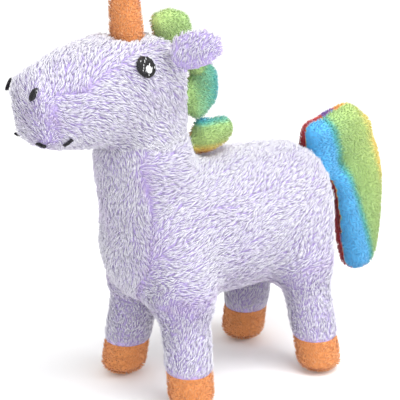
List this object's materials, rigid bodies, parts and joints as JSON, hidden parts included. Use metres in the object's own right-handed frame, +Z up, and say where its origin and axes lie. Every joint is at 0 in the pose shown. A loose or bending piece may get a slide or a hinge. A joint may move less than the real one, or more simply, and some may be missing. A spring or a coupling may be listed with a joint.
{
  "type": "plush unicorn",
  "caption": "Standing stuffed plush unicorn with a lavender body, tan horn and hooves, and a rainbow mane and tail, jointed at its sewn roots.",
  "frame": {"origin": "middle of the footprint box on the floor, under the soles", "axes": "+Z up, the face looks along -Y, the unicorn's left is +X"},
  "size_m": [0.0894, 0.2334, 0.2463],
  "materials": {
    "lavender_plush": "short-pile plush, light tips over a darker ground",
    "tan_plush": "short-pile plush",
    "mane_plush": "short-pile plush printed in rainbow bands",
    "tail_plush": "short-pile plush printed in rainbow bands",
    "black_thread": "satin-stitched embroidery thread",
    "white_thread": "satin-stitched embroidery thread",
    "stuffing": "loose polyester fibre"
  },
  "bodies": {
    "torso": {"torso_stuffing": "stuffing", "body_side_left": "lavender_plush", "body_side_right": "lavender_plush", "chest_gusset": "lavender_plush", "belly_gusset": "lavender_plush"},
    "head": {"head_stuffing": "stuffing", "head_side_left": "lavender_plush", "head_side_right": "lavender_plush", "head_gusset": "lavender_plush", "eye_black_left": "black_thread", "eye_glint_left": "white_thread", "nostril_left": "black_thread", "mouth_corner_left": "black_thread", "mouth_front_left": "black_thread", "eye_black_right": "black_thread", "eye_glint_right": "white_thread", "nostril_right": "black_thread", "mouth_corner_right": "black_thread", "mouth_front_right": "black_thread"},
    "leg_front_left": {"leg_stuffing_front_left": "stuffing", "leg_sleeve_front_left": "lavender_plush", "hoof_cap_front_left": "tan_plush"},
    "leg_front_right": {"leg_stuffing_front_right": "stuffing", "leg_sleeve_front_right": "lavender_plush", "hoof_cap_front_right": "tan_plush"},
    "leg_hind_left": {"leg_stuffing_hind_left": "stuffing", "leg_sleeve_hind_left": "lavender_plush", "hoof_cap_hind_left": "tan_plush"},
    "leg_hind_right": {"leg_stuffing_hind_right": "stuffing", "leg_sleeve_hind_right": "lavender_plush", "hoof_cap_hind_right": "tan_plush"},
    "horn": {"horn_cover": "tan_plush", "horn_stuffing": "stuffing"},
    "ear_left": {"ear_inner_left": "lavender_plush", "ear_outer_left": "lavender_plush"},
    "ear_right": {"ear_inner_right": "lavender_plush", "ear_outer_right": "lavender_plush"},
    "mane_forelock": {"mane_forelock_left": "mane_plush", "mane_forelock_right": "mane_plush", "mane_forelock_stuffing": "stuffing"},
    "mane_crown": {"mane_crown_left": "mane_plush", "mane_crown_right": "mane_plush", "mane_crown_stuffing": "stuffing"},
    "mane_nape": {"mane_nape_left": "mane_plush", "mane_nape_right": "mane_plush", "mane_nape_stuffing": "stuffing"},
    "mane_withers": {"mane_withers_left": "mane_plush", "mane_withers_right": "mane_plush", "mane_withers_stuffing": "stuffing"},
    "tail": {"tail_left": "tail_plush", "tail_right": "tail_plush", "tail_stuffing": "stuffing"}
  },
  "joints": [
    {"name": "head_nod", "type": "hinge", "parent": "torso", "child": "head", "pos_m": [-0.00286, -0.04743, 0.13977], "axis": [1, 0, 0], "range_deg": [-5, 10], "stiffness_Nm_per_rad": 0.6},
    {"name": "leg_front_left_swing", "type": "hinge", "parent": "torso", "child": "leg_front_left", "pos_m": [0.01764, -0.03643, 0.05777], "axis": [1, 0, 0], "range_deg": [-12, 12], "stiffness_Nm_per_rad": 0.6},
    {"name": "leg_front_right_swing", "type": "hinge", "parent": "torso", "child": "leg_front_right", "pos_m": [-0.02336, -0.03643, 0.05777], "axis": [1, 0, 0], "range_deg": [-12, 12], "stiffness_Nm_per_rad": 0.6},
    {"name": "leg_hind_left_swing", "type": "hinge", "parent": "torso", "child": "leg_hind_left", "pos_m": [0.01914, 0.04157, 0.05777], "axis": [1, 0, 0], "range_deg": [-12, 12], "stiffness_Nm_per_rad": 0.6},
    {"name": "leg_hind_right_swing", "type": "hinge", "parent": "torso", "child": "leg_hind_right", "pos_m": [-0.02486, 0.04157, 0.05777], "axis": [1, 0, 0], "range_deg": [-12, 12], "stiffness_Nm_per_rad": 0.6},
    {"name": "horn_lean", "type": "hinge", "parent": "head", "child": "horn", "pos_m": [-0.00286, -0.05443, 0.19027], "axis": [1, 0, 0], "range_deg": [-8, 8], "stiffness_Nm_per_rad": 0.05},
    {"name": "ear_left_flop", "type": "hinge", "parent": "head", "child": "ear_left", "pos_m": [0.01964, -0.04243, 0.18627], "axis": [-0.3672, 0.112, 0.9234], "range_deg": [-12, 12], "stiffness_Nm_per_rad": 0.02},
    {"name": "ear_right_flop", "type": "hinge", "parent": "head", "child": "ear_right", "pos_m": [-0.02186, -0.04243, 0.19027], "axis": [0.734, -0.1588, 0.6604], "range_deg": [-12, 12], "stiffness_Nm_per_rad": 0.02},
    {"name": "mane_forelock_flop", "type": "hinge", "parent": "head", "child": "mane_forelock", "pos_m": [-0.00286, -0.03543, 0.19227], "axis": [0, 0.0357, 0.9994], "range_deg": [-10, 10], "stiffness_Nm_per_rad": 0.03},
    {"name": "mane_crown_flop", "type": "hinge", "parent": "head", "child": "mane_crown", "pos_m": [-0.00286, -0.02643, 0.17567], "axis": [0, -0.0526, 0.9986], "range_deg": [-10, 10], "stiffness_Nm_per_rad": 0.03},
    {"name": "mane_nape_flop", "type": "hinge", "parent": "head", "child": "mane_nape", "pos_m": [-0.00286, -0.02543, 0.15727], "axis": [0, 0.025, 0.9997], "range_deg": [-10, 10], "stiffness_Nm_per_rad": 0.03},
    {"name": "mane_withers_flop", "type": "hinge", "parent": "torso", "child": "mane_withers", "pos_m": [-0.00286, -0.01543, 0.13127], "axis": [0, -0.1961, 0.9806], "range_deg": [-10, 10], "stiffness_Nm_per_rad": 0.03},
    {"name": "tail_wag", "type": "hinge", "parent": "torso", "child": "tail", "pos_m": [-0.00286, 0.06157, 0.10577], "axis": [0, 0, 1], "range_deg": [-15, 15], "stiffness_Nm_per_rad": 0.08}
  ]
}
